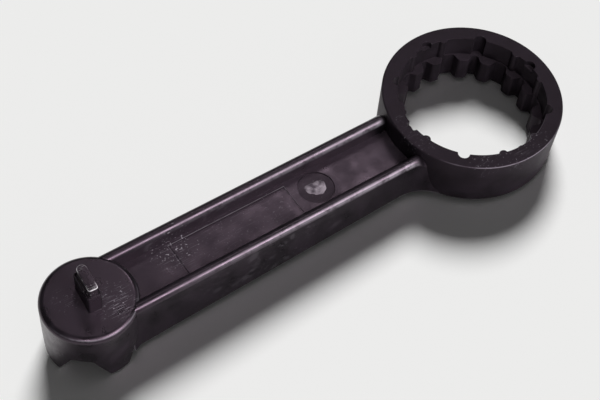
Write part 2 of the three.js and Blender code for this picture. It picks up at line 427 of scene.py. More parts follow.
def add_node(
    tree: NodeTree, kind: str, inputs: dict | None = None, give: str = "", **settings: object
) -> NodeSocket | None:
    """Adds a node with its settings and links.

    Args:
        tree: Where it goes.
        kind: Blender's name of the node, after "ShaderNode".
        inputs: For each input, by name or number, a value or the output that feeds it.
        give: The output that is wanted, if it isn't the first in use.
        **settings: The node's own settings.

    Returns:
        The wanted output, or None where the node has no output.
    """
    node = tree.nodes.new("ShaderNode" + kind)
    for name, value in settings.items():
        setattr(node, name, value)
    for name, value in (inputs or {}).items():
        if isinstance(value, NodeSocket):
            tree.links.new(value, node.inputs[name])
        else:
            node.inputs[name].default_value = value
    return node.outputs[give] if give else next((o for o in node.outputs if o.enabled), None)


@dataclass(frozen=True)
class Scuff:
    """A patch of fine scratches and specks on the moulding."""

    centre: Vector
    radius: float
    run: float  # degrees from the handle's line to the scratches
    streaks: float  # how pale the scratches are
    specks: float  # how pale the specks are


@dataclass(frozen=True)
class Rub:
    """A stretch of edges rubbed pale or painted pale as a highlight, or where the surface is duller.
    """

    centre: Vector
    radius: float
    amount: float
    core: float = 0.4  # share of the radius with the full amount


@dataclass(frozen=True)
class MouldedPlastic:
    """Black glass-filled polyamide straight from a spark-eroded mould.

    The eye sees a satin black with a purple-grey bloom, a fine matt grain, cloudy flow marks, and pale
    lines where handling has rubbed the edges down. The same pale colour paints highlights along some
    crests and rims.
    """

    name: str
    scuffs: tuple[Scuff, ...] = ()
    rub_and_highlight_zones: tuple[Rub, ...] = ()
    dulls: tuple[Rub, ...] = ()
    dark: str = "#0a090b"
    bloom: str = "#151216"
    # pale colour of rubbed edges, and of highlights painted along crests and rims
    rubbed: str = "#8d8790"
    sheen: str = "#ffdcf8"
    ior: float = 1.53
    roughness: float = 0.3
    shine: float = 0.5  # less where handling has soiled the surface
    grain: float = 0.5  # coarser than the real 0.1 mm, so that it shows
    grain_depth: float = 0.03
    grain_strength: float = 0.8
    cloud: float = 11.0
    mottle: float = 0.07  # how far the roughness changes in the clouds
    patch: float = 6.0  # size of the rubbed places along an edge
    wear: float = 0.3  # how much of each edge is rubbed pale
    scratch_length: float = 7.0
    scratch_width: float = 0.35
    speck: float = 1.1

    def material(self) -> Material:
        """Makes the shader.

        Returns:
            A material that reads Object coordinates and the wear attribute.
        """
        made = bpy.data.materials.new(self.name)
        tree = bare_tree(made)
        place = add_node(tree, "TexCoord", give="Object")
        scale = 1 / (self.cloud * MM)
        cloud = add_node(tree, "TexNoise", {"Vector": place, "Scale": scale, "Detail": 4.0})
        clouded = add_node(tree, "MapRange", {"Value": cloud, "From Min": 0.35, "From Max": 0.65})
        tints = {"Factor": clouded, "A": linear(self.dark), "B": linear(self.bloom)}
        shade = add_node(tree, "Mix", tints, data_type="RGBA")
        tints = {"Factor": self.pale_wear_and_highlight(tree, place), "A": shade, "B": linear(self.rubbed)}
        worn = add_node(tree, "Mix", tints, data_type="RGBA")

        low, high = self.roughness - self.mottle, self.roughness + self.mottle
        levels = {"From Min": 0.3, "From Max": 0.7, "To Min": low, "To Max": high}
        gloss = add_node(tree, "MapRange", {"Value": cloud, **levels})
        for dull in self.dulls:
            near = self.nearby(tree, place, dull)
            gloss = add_node(tree, "Math", {0: gloss, 1: near}, operation="ADD")

        scale = 1 / (self.grain * MM)
        grain = add_node(tree, "TexNoise", {"Vector": place, "Scale": scale, "Detail": 2.0})
        depth = {"Strength": self.grain_strength, "Distance": self.grain_depth * MM}
        relief = add_node(tree, "Bump", {"Height": grain, **depth})
        skin = {
            "Base Color": worn,
            "Roughness": gloss,
            "Normal": relief,
            "IOR": self.ior,
            "Specular IOR Level": self.shine,
            "Specular Tint": linear(self.sheen),
        }
        add_node(tree, "OutputMaterial", {"Surface": add_node(tree, "BsdfPrincipled", skin)})
        return made

    def pale_wear_and_highlight(self, tree: NodeTree, place: NodeSocket) -> NodeSocket:
        """Adds the pale edges, the highlights painted pale along them, the scratches and the specks.

        Args:
            tree: The shader.
            place: Object coordinates.

        Returns:
            How pale the surface is from wear and painted highlights, from 0 to 1.
        """
        look = {"Scale": 1 / (self.patch * MM), "Detail": 6.0, "Roughness": 0.65}
        patchy = add_node(tree, "TexNoise", {"Vector": place, **look})
        least = 0.72 - 0.4 * self.wear
        share = add_node(tree, "MapRange", {"Value": patchy, "From Min": least, "From Max": 0.8})
        levels = {"From Min": 0.36, "From Max": 0.52, "To Min": 0.25}
        ragged = add_node(tree, "MapRange", {"Value": patchy, **levels})
        # zones that deepen the pale edges: real rubbing, and painted highlights on crests and near
        # rims
        for rub in self.rub_and_highlight_zones:
            near = self.nearby(tree, place, rub)
            handled = add_node(tree, "Math", {0: near, 1: ragged}, operation="MULTIPLY")
            share = add_node(tree, "Math", {0: share, 1: handled}, operation="MAXIMUM")
        edge = add_node(tree, "Attribute", give="Fac", attribute_name=WEAR)
        rubbed = add_node(tree, "Math", {0: edge, 1: share}, operation="MULTIPLY")
        for scuff in self.scuffs:
            mark = self.scratched(tree, place, scuff)
            rubbed = add_node(tree, "Math", {0: rubbed, 1: mark}, operation="MAXIMUM")
        return rubbed

    def nearby(self, tree: NodeTree, place: NodeSocket, zone: Rub) -> NodeSocket:
        """Adds a soft-edged round zone.

        Args:
            tree: The shader.
            place: Object coordinates.
            zone: Where it is and how strong.

        Returns:
            The zone's value at each place.
        """
        centre, reach = tuple(zone.centre * MM), zone.radius * MM
        away = add_node(tree, "VectorMath", {0: place, 1: centre}, operation="DISTANCE")
        fade = {"From Min": reach, "From Max": zone.core * reach, "To Max": zone.amount}
        return add_node(tree, "MapRange", {"Value": away, **fade})

    def scratched(self, tree: NodeTree, place: NodeSocket, scuff: Scuff) -> NodeSocket:
        """Adds the fine scratches and specks of one worn patch.

        Args:
            tree: The shader.
            place: Object coordinates.
            scuff: The patch.

        Returns:
            How rubbed the surface is, from 0 to 1.
        """
        along, across = 1 / (self.scratch_length * MM), 1 / (self.scratch_width * MM)
        turn = (0.0, 0.0, math.radians(-scuff.run))
        stretch = {"Rotation": turn, "Scale": (along, across, along)}
        drawn = add_node(tree, "Mapping", {"Vector": place, **stretch})
        streak = add_node(tree, "TexNoise", {"Vector": drawn, "Scale": 1.0, "Detail": 1.0})
        levels = {"From Min": 0.62, "From Max": 0.74, "To Max": scuff.streaks}
        lines = add_node(tree, "MapRange", {"Value": streak, **levels})
        scale = 1 / (self.speck * MM)
        speck = add_node(tree, "TexNoise", {"Vector": place, "Scale": scale, "Detail": 1.0})
        levels = {"From Min": 0.66, "From Max": 0.74, "To Max": scuff.specks}
        specks = add_node(tree, "MapRange", {"Value": speck, **levels})
        either = add_node(tree, "Math", {0: lines, 1: specks}, operation="MAXIMUM")
        near = self.nearby(tree, place, Rub(scuff.centre, scuff.radius, 1.0))
        return add_node(tree, "Math", {0: either, 1: near}, operation="MULTIPLY")


def node_span(node: str) -> tuple[Vector, Vector]:
    """Gives the lowest and highest corner of a solid, in millimetres."""
    low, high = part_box(node)
    return low / MM, high / MM


def round_span(node: str) -> Pair:
    """Gives where a round solid's axis stands along the tool, and its radius."""
    low, high = node_span(node)
    return (low.x + high.x) / 2, (high.x - low.x) / 2


@dataclass
class RingSocket:
    """The two-tier ring that goes over screw caps."""

    edge: float = 0.9
    edge_steps: int = 4
    draft: float = 0.8  # degrees, the outside narrows downwards
    rounding: float = 0.35
    bore: float = 39.0
    rib_height: float = 1.6
    rib_width: float = 4.8
    rib_angle: float = 15.0
    rib_steps: int = 12
    notches: int = 4
    notch_angle: float = 45.0
    notch_depth: float = 3.0
    notch_width: float = 6.0
    notch_steps: int = 8
    pocket_height: float = 3.0
    pocket_angles: tuple[float, ...] = (0.0, 90.0, 180.0)
    pocket_steps: int = 32
    pairs: int = 8
    pair_phase: float = 1.0
    pair_spread: float = 20.0
    tooth_tip: float = 33.9
    tooth_root: float = 38.4
    tooth_rounding: float = 1.1
    tooth_steps: int = 4
    tooth_corner: float = 20.0  # degrees, the outline's smaller turns aren't rounded
    tip_width: float = 5.0
    flank_width: float = 2.3
    setback: float = 1.5
    lead_in: float = 38.8
    ledge: float = 1.2  # too narrow for a rounding
    part_angles: tuple[float, ...] = (23.25, 68.25, 113.25, 158.25)  # clear of notches, ribs and teeth

    def __post_init__(self) -> None:
        """Takes the ring's place from the solids."""
        middle, self.radius = round_span("ring_collar")
        self.centre = Vector((middle, 0, 0))
        self.shelf, self.top = (corner.z for corner in node_span("ring_collar"))
        self.bottom = node_span("ring_toothed_skirt")[0].z
        self.notch_radius = self.notch_width / 2
        self.notch_at = self.bore + self.notch_depth - self.notch_radius

    def at(self, radius: float, degrees: float, height: float) -> Vector:
        """Gives the point at a radius, an angle and a height."""
        turn = Matrix.Rotation(math.radians(degrees), 3, "Z")
        return self.centre + turn @ Vector((radius, 0, height))

    def blank(self) -> BMesh:
        """Turns the outside of the ring.

        Returns:
            A solid drum with rounded rims.
        """
        head = self.radius - self.edge
        foot = self.radius - math.tan(math.radians(self.draft)) * (self.top - self.bottom)
        pen = Pen(self.at(0, 0, self.top), Y_AXIS)
        pen.line(self.at(head, 0, self.top))
        pen.arc(self.at(head, 0, self.top - self.edge), 90, self.edge_steps)
        pen.line(self.at(foot, 0, self.bottom + self.edge))
        pen.arc(self.at(foot - self.edge, 0, self.bottom + self.edge), 90, self.edge_steps)
        pen.line(self.at(0, 0, self.bottom))
        return turned(pen, self.centre)

    def collar_bore(self) -> BMesh:
        """Draws the upper bore with its grip ribs and through notches.

        Returns:
            The cutter above the shelf.
        """
        rib = self.rib_width / 2
        rib_at = self.bore - self.rib_height + rib
        notch_turn, notch_sweep = self.meeting(self.notch_at, self.notch_radius)
        rib_turn, rib_sweep = self.meeting(rib_at, rib)
        floor = self.shelf
        first, last = -self.notch_angle, self.notch_angle
        pen = Pen(self.at(self.bore + self.notch_depth, first, floor))
        pen.arc(self.at(self.notch_at, first, floor), notch_sweep, self.notch_steps)
        angle = first + notch_turn
        for middle in (-self.rib_angle, self.rib_angle):
            sweep = middle - rib_turn - angle
            pen.arc(self.centre, sweep, max(self.edge_steps, round(sweep)))
            pen.arc(self.at(rib_at, middle, floor), -2 * (180 - rib_sweep), self.rib_steps)
            angle = middle + rib_turn
        sweep = last - notch_turn - angle
        pen.arc(self.centre, sweep, round(sweep))
        pen.arc(self.at(self.notch_at, last, floor), notch_sweep, self.notch_steps)
        pen.repeat(self.centre, self.notches)
        return raised(pen, self.top + OVERCUT - floor)

    def meeting(self, distance: float, radius: float) -> Pair:
        """Finds where a small round on the wall meets the bore.

        Args:
            distance: From the ring's axis to the small round's.
            radius: Of the small round.

        Returns:
            The angle between them seen from the ring's axis, and the angle from straight outwards to
            the meeting point seen from the small round's axis, in degrees.
        """
        turn = math.acos((self.bore**2 + distance**2 - radius**2) / (2 * self.bore * distance))
        across = self.bore * math.sin(turn)
        outwards = self.bore * math.cos(turn) - distance
        return math.degrees(turn), math.degrees(math.atan2(across, outwards))

    def toothed_bore(self) -> BMesh:
        """Draws the lower bore round eight pairs of teeth.

        Returns:
            The cutter from below the ring to the shelf.
        """
        tip = math.degrees(self.tip_width / 2 / self.tooth_tip)
        foot = tip + math.degrees(self.flank_width / self.tooth_root)
        pitch = 360 / self.pairs
        low = self.bottom - OVERCUT
        pen = Pen(self.at(self.tooth_root, self.pair_phase - pitch / 2, low))
        for side in (-1, 1):
            middle = self.pair_phase + side * self.pair_spread / 2
            pen.line(self.at(self.tooth_root, middle - foot, low))
            pen.line(self.at(self.tooth_tip, middle - tip, low))
            pen.line(self.at(self.tooth_tip, middle + tip, low))
            pen.line(self.at(self.tooth_root, middle + foot, low))
        pen.line(self.at(self.tooth_root, self.pair_phase + pitch / 2, low))
        pen.repeat(self.centre, self.pairs)
        cutter = raised(pen, self.shelf + OVERCUT - low)
        upright = [e for e in cutter.edges if abs(e.verts[0].co.z - e.verts[1].co.z) > MARGIN]
        least = math.radians(self.tooth_corner)
        corners = [e for e in upright if e.calc_face_angle() > least]
        rounded(cutter, corners, self.tooth_rounding, self.tooth_steps)
        return cutter

    def build(self) -> tuple[Object, ...]:
        """Models the ring.

        Returns:
            The finished piece.
        """
        ring = combined(self.blank(), self.collar_bore(), Cut.AWAY)
        ring = combined(ring, self.toothed_bore(), Cut.AWAY)
        low = self.bottom
        lead_in = bar(self.centre, self.lead_in, low - OVERCUT, low + self.setback)
        ring = combined(ring, lead_in, Cut.AWAY)
        floor, high = self.top - self.pocket_height, self.top + OVERCUT
        for angle in self.pocket_angles:
            place = self.at(self.notch_at, angle, 0)
            pocket = bar(place, self.notch_radius, floor, high, self.pocket_steps)
            ring = combined(ring, pocket, Cut.AWAY)
        for angle in self.part_angles:
            part(ring, ring.faces[:], self.centre, self.at(1, angle, 0) - self.centre)
        soften(ring, self.rounding, self.roomy)
        mark_rim(ring, self.at(0, 0, self.top), self.radius, self.edge)
        piece = finished(ring, "ring_socket_moulding")
        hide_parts("ring_collar", "ring_toothed_skirt")
        return (piece,)

    def roomy(self, edge: BMEdge) -> bool:
        """Tells whether an edge has room for a rounding.

        Args:
            edge: A sharp edge of the ring.

        Returns:
            False on the narrow ledges of the shelf, in the pockets and at the ends of the teeth.
        """
        heights = [v.co.z for v in edge.verts]
        if max(heights) < self.bottom + 2 * self.setback:
            return False
        if any(abs(z - self.top + self.pocket_height) < LEVEL for z in heights):
            return False
        if any(abs(z - self.shelf) > LEVEL for z in heights):
            return True
        outwards = [(v.co - self.centre).xy.length for v in edge.verts]
        return max(outwards) < self.tooth_root - self.ledge

    def dress(self, piece: Object) -> None:
        """Gives the ring its plastic, with specks and a painted highlight along the worn rim on the
        near side.

        Args:
            piece: The finished ring.
        """
        top = self.top
        scuffs = (
            # a pale spot by the pocket at 180 degrees: scratches and specks that also stand for a
            # painted glint
            Scuff(self.at(42.8, 171, top), radius=3.2, run=80, streaks=0.5, specks=0.9),
            Scuff(self.at(43, 190, top), radius=12.0, run=60, streaks=0.12, specks=0.4),
            *(
                Scuff(self.at(42, angle, top), radius=10.0, run=35, streaks=0.15, specks=0.6)
                for angle in (240, 262, 284)
            ),
        )
        # painted highlight: the rim's pale worn edge is strengthened on the near side
        rub_and_highlight_zones = (Rub(self.at(self.radius, 262, top), radius=42.0, amount=0.55),)
        finish = MouldedPlastic("ring_black_polyamide", scuffs, rub_and_highlight_zones, roughness=0.56, shine=0.3)
        piece.data.materials.append(finish.material())


@dataclass
class Handle:
    """The flanged handle: a flat web between two round-topped rails."""

    spacing: float = 30.3
    thickness: float = 6.0
    crown_steps: int = 12
    rounding: float = 0.3
    head_depth: float = 32.8
    ring_depth: float = 20.9
    centre_distance: float = 226.0
    ring_flare: float = 22.5
    head_flare: float = 9.0
    flare_top: float = 0.3  # share of the flare that its top has
    flare_fall: float = 1.2  # slope of the flare's top
    head_start: float = 0.5  # share of the head's radius where the rails start
    head_run: int = 14  # stations across the head's flare, 1 mm apart
    ring_end: float = 35.0  # from the ring's axis to the ends of the rails
    ring_run: float = 22.0  # length of the ring's flare
    ring_steps: int = 28  # stations across it
    head_bury: float = 1.6  # how far the rails run into the head
    ring_bury: float = 1.8  # and into the ring
    nose_length: float = 4.5
    nose_drop: float = 1.8
    recess_at: Pair = (128.8, 1.0)
    recess_radius: float = 9.3
    recess_depth: float = 0.5
    recess_steps: int = 96
    scar_profile: tuple[Pair, ...] = (  # radius and height above the recess
        (0, -0.3), (5.1, -0.3), (4.6, 0.12), (3.1, 0.32), (1.7, 0.16), (0, 0.3),
    )
    scar_steps: int = 40
    scar_edge: tuple[Wave, ...] = ((2, 0.16, 2.2), (3, 0.09, 0), (8, 0.04, 0))
    scar_ripple: tuple[Wave, ...] = ((2, 0.06, 0.6), (5, 0.04, 0))
    insert_span: Pair = (48.0, 115.0)
    insert_half: float = 10.0
    witness_width: float = 0.5
    witness_depth: float = 0.3
    crest_highlight_lean: float = 48.0  # degrees, where the painted highlight lies on the rails' crests
    crest_highlight_spread: float = 36.0
    crest_fade: float = 2.5
    line_wear: float = 0.45  # on the far side of the insert's line

    def __post_init__(self) -> None:
        """Takes the handle's place from the solids."""
        self.web_bottom, self.web_top = (corner.z for corner in node_span("handle_web"))
        self.top = node_span("near_rail")[1].z
        self.head_x, self.head_radius = round_span("bung_head_disc")
        self.ring_x, self.ring_radius = round_span("ring_collar")
        self.inside = (self.spacing - self.thickness) / 2
        self.outside = (self.spacing + self.thickness) / 2

    def along(self, distance: float) -> Vector:
        """Gives the point of the tool's line at a distance from the head's axis."""
        return Vector((self.head_x + distance, 0, 0))

    def section(self, x: float) -> Pen:
        """Draws the handle's upright section.

        Args:
            x: Where along the tool it stands.

        Returns:
            The closed outline, with rails of an even depth that are shaped later.
        """
        low = self.top - self.head_depth
        shoulder = self.top - self.thickness / 2
        pen = Pen((x, -self.outside, low), X_AXIS)
        pen.line((x, -self.outside, shoulder))
        pen.arc((x, -self.spacing / 2, shoulder), -180, self.crown_steps)
        pen.line((x, -self.inside, self.web_top), (x, self.inside, self.web_top))
        pen.line((x, self.inside, shoulder))
        pen.arc((x, self.spacing / 2, shoulder), -180, self.crown_steps)
        pen.line((x, self.outside, low), (x, self.inside, low))
        pen.line((x, self.inside, self.web_bottom), (x, -self.inside, self.web_bottom))
        pen.line((x, -self.inside, low), (x, -self.outside, low))
        return pen

    def flare(self, x: float) -> float:
        """Works out how far a rail's outside stands out towards a round head.

        Args:
            x: Where along the tool.

        Returns:
            The added half width.
        """
        added = 0.0
        for middle, radius, fillet in (
            (self.head_x, self.head_radius, self.head_flare),
            (self.ring_x, self.ring_radius, self.ring_flare),
        ):
            start = math.sqrt((radius + fillet) ** 2 - (self.outside + fillet) ** 2)
            end = radius * start / (radius + fillet)
            reach = min(max(start - abs(x - middle), 0.0), start - end)
            added += fillet - math.sqrt(fillet**2 - reach**2)
        return added

    def shape(self, mesh: BMesh) -> None:
        """Tapers the rails' depth, flares their ends and rounds their noses at the ring.

        Args:
            mesh: The straight handle.
        """
        crest = self.spacing / 2
        low = self.top - self.head_depth
        nose_at = self.ring_x - math.sqrt(self.ring_radius**2 - crest**2)
        for vert in mesh.verts:
            x, y, z = vert.co
            upper = z > self.web_top + MARGIN
            if z < low + MARGIN:
                share = (x - self.head_x) / self.centre_distance
                vert.co.z = low + share * (self.head_depth - self.ring_depth)
            beyond = abs(y) - crest
            if beyond > 0:
                added = self.flare(x) * beyond / (self.outside - crest)
                if upper:
                    added *= self.flare_top
                    vert.co.z -= self.flare_fall * added
                vert.co.y += math.copysign(added, y)
            if upper and x > nose_at - self.nose_length:
                into = min((x - nose_at) / self.nose_length + 1, 1)
                vert.co.z -= self.nose_drop * (1 - math.sqrt(1 - into**2))

    def straight(self) -> BMesh:
        """Draws the section out along the tool.

        Returns:
            The handle without its cuts, with stations for its flares.
        """
        start = self.head_x + self.head_start * self.head_radius
        flared = self.ring_x - self.ring_end - self.ring_run
        stations = [start + step for step in range(1, self.head_run + 1)]
        steps = range(self.ring_steps + 1)
        stations += [flared + self.ring_run * step / self.ring_steps for step in steps]
        mesh = self.section(start).mesh
        bmesh.ops.remove_doubles(mesh, verts=mesh.verts[:], dist=MERGE)
        rim = mesh.edges[:]
        bmesh.ops.edgeloop_fill(mesh, edges=rim)
        for before, station in zip([start, *stations], stations):
            grown = bmesh.ops.extrude_edge_only(mesh, edges=rim)["geom"]
            rim = [g for g in grown if isinstance(g, BMEdge)]
            moved = [g for g in grown if isinstance(g, BMVert)]
            bmesh.ops.translate(mesh, vec=(station - before, 0, 0), verts=moved)
        bmesh.ops.edgeloop_fill(mesh, edges=rim)
        self.shape(mesh)
        return closed(mesh)

    def build(self) -> tuple[Object, ...]:
        """Models the handle.

        Returns:
            The finished handle and its gate scar.
        """
        low, high = -OVERCUT, self.top + OVERCUT
        handle = self.straight()
        for cutter in (
            bar(self.along(0), self.head_radius - self.head_bury, low, high),
            bar(Vector((self.ring_x, 0, 0)), self.ring_radius - self.ring_bury, low, high),
            self.recess(),
            self.witness(),
        ):
            handle = combined(handle, cutter, Cut.AWAY)
        for distance in (self.recess_at[0], sum(self.insert_span) / 2):
            handle.normal_update()
            web = [f for f in handle.faces if f.normal.z > 0 and self.on_web(f.calc_center_median())]
            part(handle, web, self.along(distance), X_AXIS)
        soften(handle, self.rounding, lambda edge: edge.is_convex)
        self.mark_crest_wear_and_highlight(handle)
        piece = finished(handle, "handle_moulding")
        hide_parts("handle_web", "near_rail", "far_rail")
        return piece, self.gate_scar()

    def on_web(self, point: Vector) -> bool:
        """Tells whether a point lies on the top of the web or in its fine lines."""
        return abs(point.y) < self.inside and abs(point.z - self.web_top) < MARGIN

    def mark_crest_wear_and_highlight(self, handle: BMesh) -> None:
        """Marks the rails' crests for a painted highlight, and takes most wear off the web's fine
        lines.

        Args:
            handle: The shape.
        """
        wear = handle.verts.layers.float[WEAR]
        centre = self.top - self.thickness / 2
        far_line = self.insert_half - self.witness_width / 2
        for vert in handle.verts:
            x, y, z = vert.co
            if self.on_web(vert.co):
                past = x - self.head_x - self.insert_span[1]
                vert[wear] *= self.line_wear if past < MARGIN and y > far_line else 0.0
            elif z > centre:
                # painted highlight: the crest's pale mark peaks on the side where the lamps' highlight
                # falls
                across = math.copysign(self.spacing / 2, y) - y
                lean = math.degrees(math.atan2(across, z - centre))
                clear = (x - self.head_x - self.head_radius) / self.crest_fade
                straight = 1 - self.flare(x) / self.crest_fade
                rubbed = 1 - abs(lean - self.crest_highlight_lean) / self.crest_highlight_spread
                vert[wear] = max(0.0, min(clear, straight, rubbed))

    def recess_floor(self) -> Vector:
        """Gives the middle of the gate recess."""
        distance, across = self.recess_at
        return self.along(distance) + Vector((0, across, self.web_top - self.recess_depth))

    def recess(self) -> BMesh:
        """Makes the cutter of the round gate recess in the web."""
        floor = self.recess_floor()
        return bar(floor, self.recess_radius, floor.z, self.web_top + OVERCUT, self.recess_steps)

    def witness(self) -> BMesh:
        """Makes the cutter of the witness line round the plain mould insert.

        Returns:
            A thin rectangular frame.
        """
        first, last = (self.head_x + place for place in self.insert_span)
        half, width = self.insert_half, self.witness_width
        low, high = self.web_top - self.witness_depth, self.web_top + OVERCUT
        outer = box((first, -half, low), (last, half, high))
        first, last, half = first + width, last - width, half - width
        inner = box((first, -half, low - OVERCUT), (last, half, high + OVERCUT))
        return combined(outer, inner, Cut.AWAY)

    def gate_scar(self) -> Object:
        """Models the plain moulding scar where the sprue was broken off.

        Returns:
            The finished piece.
        """
        centre = self.recess_floor()
        first, *others = (centre + Vector((out, 0, height)) for out, height in self.scar_profile)
        scar = turned(Pen(first, Y_AXIS).line(*others), centre, self.scar_steps)
        for vert in scar.verts:
            out = vert.co - centre
            turn = math.atan2(out.y, out.x)
            vert.co.xy = centre.xy + out.xy * (1 + ripple(turn, self.scar_edge))
            vert.co.z += ripple(turn, self.scar_ripple) * min(out.xy.length, 1)
        return finished(scar, "gate_scar")

    def dress(self, piece: Object, scar: Object) -> None:
        """Gives the handle its plastic, with a painted highlight along the rails' crests, and the gate
        scar its blush.

        Args:
            piece: The finished handle.
            scar: The gate scar.
        """
        web = Vector((self.head_x, 0, self.web_top))
        scuffs = (
            Scuff(web + Vector((50, 8, 0)), radius=16.0, run=8, streaks=0.2, specks=0.6),
            Scuff(web + Vector((128.8, 1, 0)), radius=8.0, run=60, streaks=0.1, specks=0.35),
            Scuff(web + Vector((90, -2, 0)), radius=60.0, run=22, streaks=0.05, specks=0.1),
            Scuff(web + Vector((95, -18, -3)), radius=5.0, run=10, streaks=0.4, specks=0.3),
        )
        finish = MouldedPlastic(
            "handle_black_polyamide",
            scuffs,
            # a broad zone that brightens the crests' painted highlight as well as the worn edges
            rub_and_highlight_zones=(Rub(web + Vector((90, 0, 0)), radius=260.0, amount=0.7),),
            dulls=(Rub(self.recess_floor(), self.recess_radius, amount=0.1, core=0.97),),
            # paler colour for the worn edges and the crests' painted highlight
            rubbed="#a69fa8",
            roughness=0.35,
            mottle=0.09,
            wear=0.4,
            shine=0.43,
        )
        piece.data.materials.append(finish.material())
        blush = MouldedPlastic(
            "gate_scar_polyamide", dark="#39343a", bloom="#938a92", roughness=0.6, cloud=4.0
        )
        scar.data.materials.append(blush.material())


@dataclass
class BungHead:
    """The small round head with its crown of lugs."""

    rim: float = 3.0
    rim_steps: int = 8
    wall: float = 4.5
    disc: float = 5.0
    rounding: float = 0.35
    lugs: tuple[str, ...] = ("lug_inner", "lug_far", "lug_outer", "lug_near")
    lug_phase: float = 5.0
    lug_height: float = 15.5
    lug_tip: float = 10.5
    lug_flank: float = 26.0
    root_rounding: float = 1.8
    root_steps: int = 4

    def __post_init__(self) -> None:
        """Takes the head's place from the solids."""
        middle, self.radius = round_span("bung_head_disc")
        self.centre = Vector((middle, 0, 0))
        self.top = node_span("bung_head_disc")[1].z

    def at(self, radius: float, height: float) -> Vector:
        """Gives the point of the head's profile at a radius and a height."""
        return self.centre + Vector((radius, 0, height))

    def cup(self) -> BMesh:
        """Turns the hollow head.

        Returns:
            A cup with a rolled rim, open downwards, whose wall reaches to the lug tips.
        """
        shoulder, hollow = self.radius - self.rim, self.radius - self.wall
        ceiling = self.top - self.disc
        pen = Pen(self.at(0, self.top), Y_AXIS).line(self.at(shoulder, self.top))
        pen.arc(self.at(shoulder, self.top - self.rim), 90, self.rim_steps)
        pen.line(self.at(self.radius, 0), self.at(hollow, 0))
        pen.line(self.at(hollow, ceiling), self.at(0, ceiling))
        return turned(pen, self.centre)

    def gap(self, quarter: int) -> BMesh:
        """Makes the cutter of the gap that follows one lug.

        Args:
            quarter: Which of the four lugs.

        Returns:
            A block with two sloping sides, its upper corners rounded.
        """
        reach = 2 * self.radius
        slope = math.tan(math.radians(self.lug_flank))
        cutter = box((0, 0, -OVERCUT), (reach, reach, self.lug_height))
        for vert in cutter.verts:
            inset = self.lug_tip / 2 + vert.co.z * slope
            vert.co.x = max(vert.co.x, inset)
            vert.co.y = max(vert.co.y, inset)
        corner = min((v for v in cutter.verts if v.co.z > 0), key=lambda v: v.co.x + v.co.y)
        roots = [e for e in corner.link_edges if e.other_vert(corner).co.z > 0]
        rounded(cutter, roots, self.root_rounding, self.root_steps)
        turn = Matrix.Rotation(math.radians(self.lug_phase + 90 * quarter), 3, "Z")
        bmesh.ops.rotate(cutter, cent=(0, 0, 0), matrix=turn, verts=cutter.verts[:])
        bmesh.ops.translate(cutter, vec=self.centre, verts=cutter.verts[:])
        return cutter

    def build(self) -> tuple[Object, ...]:
        """Models the head.

        Returns:
            The finished piece.
        """
        head = self.cup()
        for quarter in range(len(self.lugs)):
            head = combined(head, self.gap(quarter), Cut.AWAY)
        soften(head, self.rounding)
        mark_rim(head, self.at(0, self.top), self.radius, self.rim)
        piece = finished(head, "bung_head_moulding")
        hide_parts("bung_head_disc", "bung_head_skirt", *self.lugs)
        return (piece,)

    def dress(self, piece: Object) -> None:
        """Gives the head its plastic, scratched beside the key, with a painted highlight along the
        near rim.

        Args:
            piece: The finished head.
        """
        disc = self.at(0, self.top)
        scuffs = (
            Scuff(disc + Vector((9, -8, 0)), radius=12.0, run=4, streaks=0.7, specks=0.8),
            Scuff(disc + Vector((11, -11, 0)), radius=8.0, run=-14, streaks=0.7, specks=1.0),
            Scuff(disc + Vector((-10, 4, 0)), radius=8.0, run=-10, streaks=0.2, specks=0.3),
        )
        # painted highlight: the rim's pale edge is strengthened on the near side, where the lamps'
        # highlight falls
        rub_and_highlight_zones = (Rub(disc + Vector((0.2, -self.radius, 0)), radius=32.0, amount=0.4),)
        finish = MouldedPlastic("head_black_polyamide", scuffs, rub_and_highlight_zones, roughness=0.34, mottle=0.13)
        piece.data.materials.append(finish.material())


